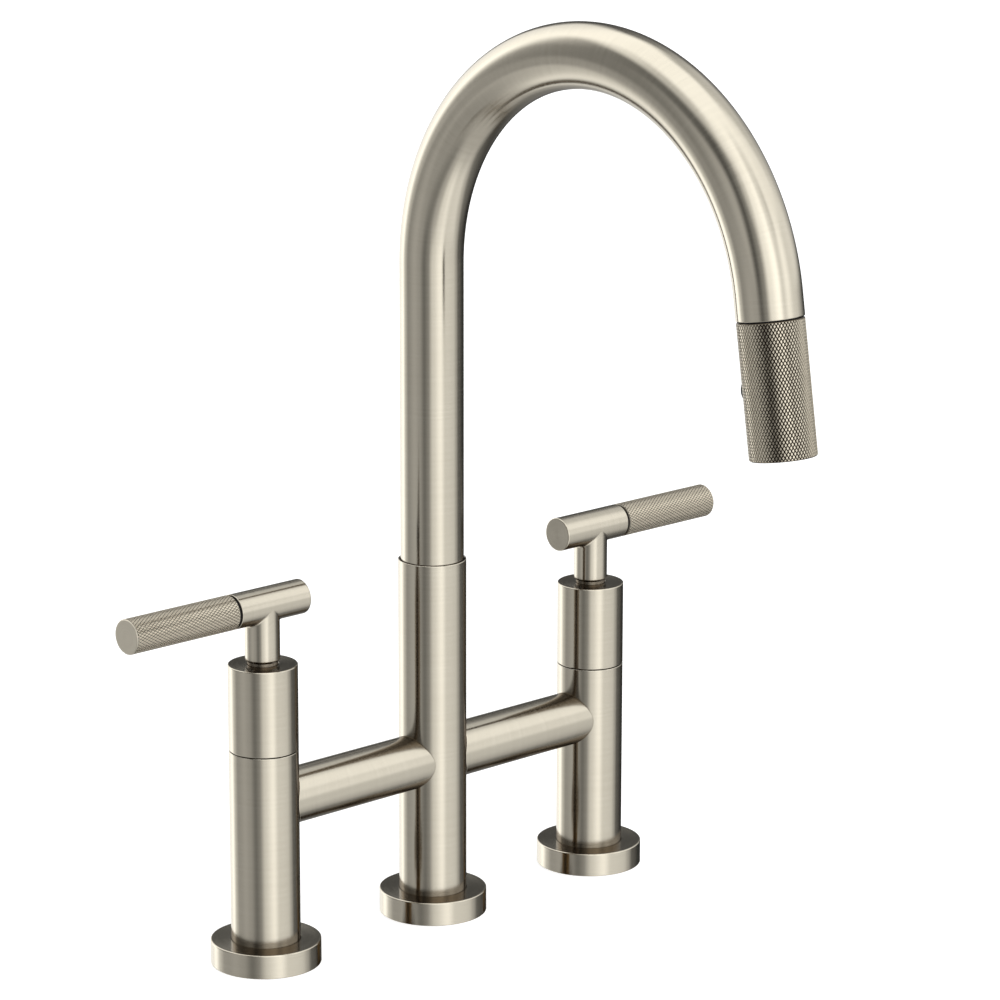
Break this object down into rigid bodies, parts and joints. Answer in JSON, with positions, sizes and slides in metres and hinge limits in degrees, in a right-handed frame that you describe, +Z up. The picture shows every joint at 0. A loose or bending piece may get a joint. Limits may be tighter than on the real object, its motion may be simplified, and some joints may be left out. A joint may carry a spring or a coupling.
{
  "type": "pull-down bridge kitchen faucet",
  "caption": "Deck-mounted bridge kitchen faucet with a swivel gooseneck, a knurled pull-down spray head and knurled lever valves on side posts.",
  "frame": {"origin": "centre column's axis at deck level, on the underside of its flange", "axes": "+Z up, -Y towards the user and the sink, +X towards the cold side"},
  "size_m": [0.3554, 0.255, 0.5332],
  "materials": {
    "brushed_nickel": "satin brushed nickel plate",
    "knurled_nickel": "diamond-knurled satin nickel plate",
    "brass": "turned brass",
    "stainless": "stainless steel",
    "black_rubber": "matt rubber",
    "ceramic": "lapped alumina ceramic",
    "white_plastic": "moulded acetal",
    "grey_plastic": "moulded grey plastic",
    "braid": "braided nylon over a flexible hose"
  },
  "bodies": {
    "deck_body": {"left_flange": "brushed_nickel", "right_flange": "brushed_nickel", "center_flange": "brushed_nickel", "flange_seals": "black_rubber", "left_post": "brushed_nickel", "right_post": "brushed_nickel", "center_column": "brushed_nickel", "left_bridge_arm": "brushed_nickel", "right_bridge_arm": "brushed_nickel", "bridge_seals": "black_rubber", "left_bonnet": "brushed_nickel", "right_bonnet": "brushed_nickel", "stem_guides": "grey_plastic", "left_cartridge": "brass", "right_cartridge": "brass", "cartridge_nuts": "brass", "cartridge_seals": "black_rubber", "fixed_discs": "ceramic", "left_shank": "brass", "right_shank": "brass", "center_shank": "brass", "mounting_washers": "stainless", "mounting_nuts": "brass", "column_manifold": "brass", "mixed_outlet_tube": "brass", "swivel_bushings": "white_plastic", "spout_set_screw": "stainless"},
    "spout": {"spout_tube": "brushed_nickel", "spout_shank": "brass", "spout_seals": "black_rubber", "dock_sleeve": "grey_plastic", "dock_magnet": "stainless", "hose_riser": "braid", "hose_coupling": "brass"},
    "hose_lead": {"hose_end": "braid", "hose_ferrule": "stainless"},
    "spray_head": {"spray_shell": "knurled_nickel", "dock_plug": "grey_plastic", "keeper_ring": "stainless", "hose_nut": "brass", "spray_core": "white_plastic", "check_valve": "white_plastic", "spray_face": "grey_plastic", "spray_nozzles": "grey_plastic", "aerator": "black_rubber", "button_spring": "stainless"},
    "button": {"spray_button": "black_rubber", "diverter_spool": "white_plastic"},
    "hot_lever": {"left_lever_hub": "brushed_nickel", "left_grip": "knurled_nickel", "left_gap_ring": "black_rubber", "left_valve_stem": "brass", "left_turning_disc": "ceramic", "left_lever_screw": "stainless"},
    "cold_lever": {"right_lever_hub": "brushed_nickel", "right_grip": "knurled_nickel", "right_gap_ring": "black_rubber", "right_valve_stem": "brass", "right_turning_disc": "ceramic", "right_lever_screw": "stainless"}
  },
  "joints": [
    {"name": "hot_lever_turn", "type": "hinge", "parent": "deck_body", "child": "hot_lever", "pos_m": [-0.1016, 0, 0.12], "axis": [0, 0, 1], "range_deg": [0, 90]},
    {"name": "cold_lever_turn", "type": "hinge", "parent": "deck_body", "child": "cold_lever", "pos_m": [0.1016, 0, 0.12], "axis": [0, 0, -1], "range_deg": [0, 90]},
    {"name": "spout_swivel", "type": "hinge", "parent": "deck_body", "child": "spout", "pos_m": [0, 0, 0.12], "axis": [0, 0, 1], "range_deg": [-180, 180]},
    {"name": "spray_pull", "type": "slide", "parent": "spout", "child": "hose_lead", "axis": [0, -0.1513, -0.9885], "range_m": [0, 0.24], "deforming": ["hose_end"]},
    {"name": "spray_turn", "type": "hinge", "parent": "hose_lead", "child": "spray_head", "pos_m": [0, -0.20697, 0.31094], "axis": [0, -0.1513, -0.9885], "continuous": true},
    {"name": "button_press", "type": "slide", "parent": "spray_head", "child": "button", "axis": [0, -0.9885, 0.1513], "range_m": [0, 0.0016], "stiffness_N_per_m": 600, "springref_m": -0.002, "deforming": ["button_spring"]}
  ]
}
